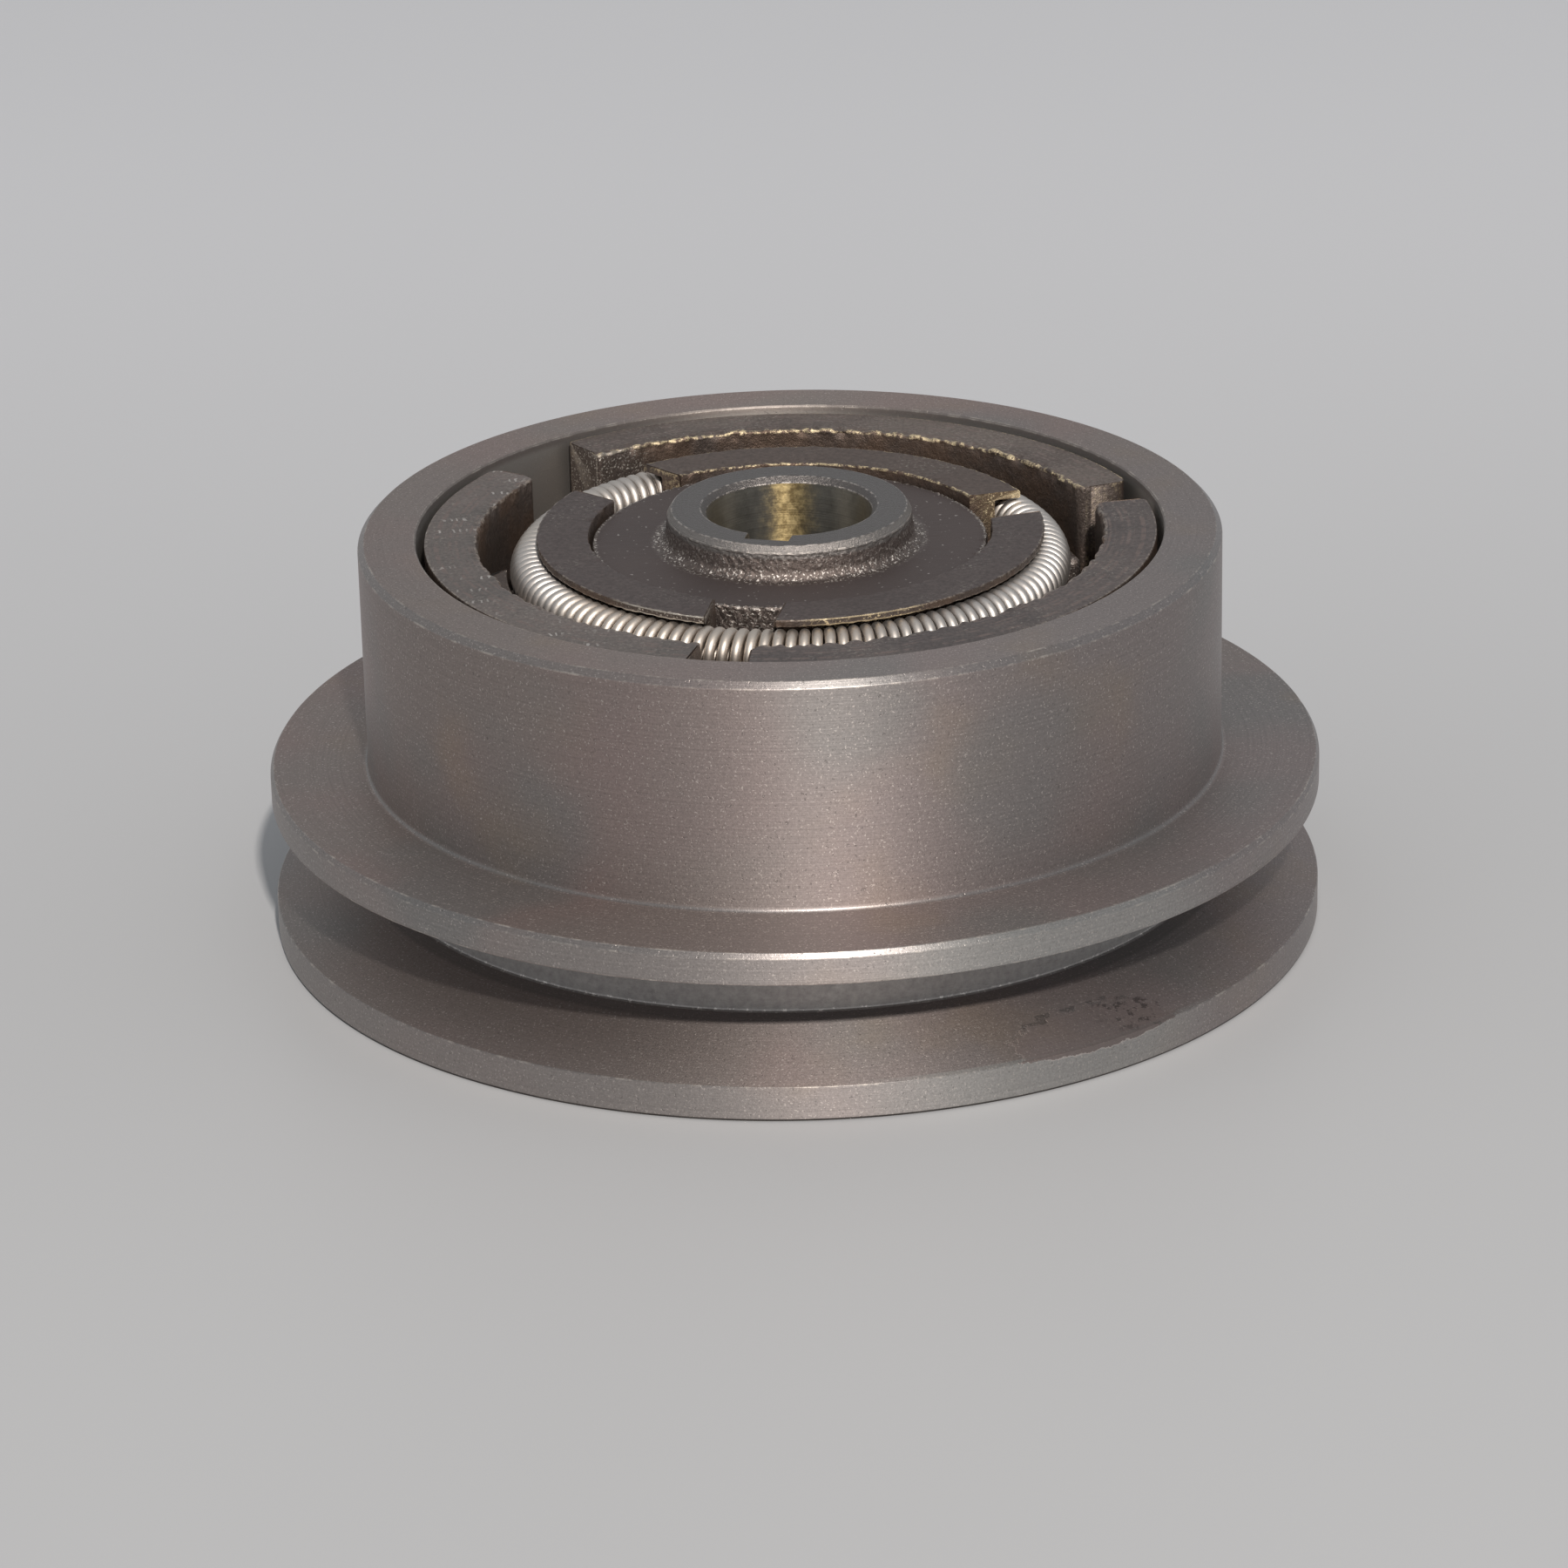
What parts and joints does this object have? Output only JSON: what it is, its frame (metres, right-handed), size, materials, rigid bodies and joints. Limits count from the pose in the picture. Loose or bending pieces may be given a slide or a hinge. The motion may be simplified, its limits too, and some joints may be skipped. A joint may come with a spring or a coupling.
{
  "type": "centrifugal clutch",
  "caption": "Centrifugal clutch: drum with a single V-belt groove on ball bearings, keyed hub, sprung cast shoes inside the open drum.",
  "frame": {"origin": "middle of the pulley's flat bottom face, on the axis of rotation", "axes": "+Z along the axis of rotation, out of the drum's open mouth; -Y towards the hub's keyway side"},
  "size_m": [0.128, 0.128, 0.0516],
  "materials": {
    "turned_iron": "fine turned, heat tinted",
    "cast_hub": "rough as cast",
    "cast_shoe": "rough as cast, ground top",
    "spring_steel": "bright drawn wire",
    "dark_steel": "phosphated",
    "bearing_steel": "ground",
    "cage_steel": "pressed",
    "seal_rubber": "matt"
  },
  "bodies": {
    "drum": {"drum_pulley": "turned_iron", "bearing_circlip": "dark_steel", "lower_bearing_outer_race": "bearing_steel", "lower_bearing_top_seal": "seal_rubber", "lower_bearing_bottom_seal": "seal_rubber", "upper_bearing_outer_race": "bearing_steel", "upper_bearing_top_seal": "seal_rubber", "upper_bearing_bottom_seal": "seal_rubber"},
    "hub": {"driver_hub": "cast_hub", "sleeve_circlip": "dark_steel", "garter_spring": "spring_steel", "lower_bearing_inner_race": "bearing_steel", "upper_bearing_inner_race": "bearing_steel"},
    "ball_sets": {"lower_bearing_cage": "cage_steel", "upper_bearing_cage": "cage_steel", "lower_ball_1": "bearing_steel", "lower_ball_2": "bearing_steel", "lower_ball_3": "bearing_steel", "lower_ball_4": "bearing_steel", "lower_ball_5": "bearing_steel", "lower_ball_6": "bearing_steel", "lower_ball_7": "bearing_steel", "lower_ball_8": "bearing_steel", "lower_ball_9": "bearing_steel", "lower_ball_10": "bearing_steel", "lower_ball_11": "bearing_steel", "upper_ball_1": "bearing_steel", "upper_ball_2": "bearing_steel", "upper_ball_3": "bearing_steel", "upper_ball_4": "bearing_steel", "upper_ball_5": "bearing_steel", "upper_ball_6": "bearing_steel", "upper_ball_7": "bearing_steel", "upper_ball_8": "bearing_steel", "upper_ball_9": "bearing_steel", "upper_ball_10": "bearing_steel", "upper_ball_11": "bearing_steel"},
    "shoe_back": {"shoe_back": "cast_shoe"},
    "shoe_left": {"shoe_left": "cast_shoe"},
    "shoe_right": {"shoe_right": "cast_shoe"}
  },
  "joints": [
    {"name": "hub_spin", "type": "hinge", "parent": "drum", "child": "hub", "pos_m": [0, 0, 0.0254], "axis": [0, 0, 1], "continuous": true},
    {"name": "ball_set_spin", "type": "hinge", "parent": "drum", "child": "ball_sets", "pos_m": [0, 0, 0.017], "axis": [0, 0, 1], "continuous": true},
    {"name": "shoe_back_slide", "type": "slide", "parent": "hub", "child": "shoe_back", "axis": [0.2685, 0.9633, 0], "range_m": [0, 0.0009], "stiffness_N_per_m": 3000, "springref_m": -0.01, "deforming": ["garter_spring"]},
    {"name": "shoe_left_slide", "type": "slide", "parent": "hub", "child": "shoe_left", "axis": [-0.9411, -0.3383, 0], "range_m": [0, 0.0009], "stiffness_N_per_m": 3000, "springref_m": -0.01},
    {"name": "shoe_right_slide", "type": "slide", "parent": "hub", "child": "shoe_right", "axis": [0.7363, -0.6767, 0], "range_m": [0, 0.0009], "stiffness_N_per_m": 3000, "springref_m": -0.01}
  ],
  "couplings": [
    {"joint": "ball_set_spin", "follows": "hub_spin", "ratio": 0.41595},
    {"joint": "shoe_left_slide", "follows": "shoe_back_slide", "ratio": 1},
    {"joint": "shoe_right_slide", "follows": "shoe_back_slide", "ratio": 1}
  ]
}
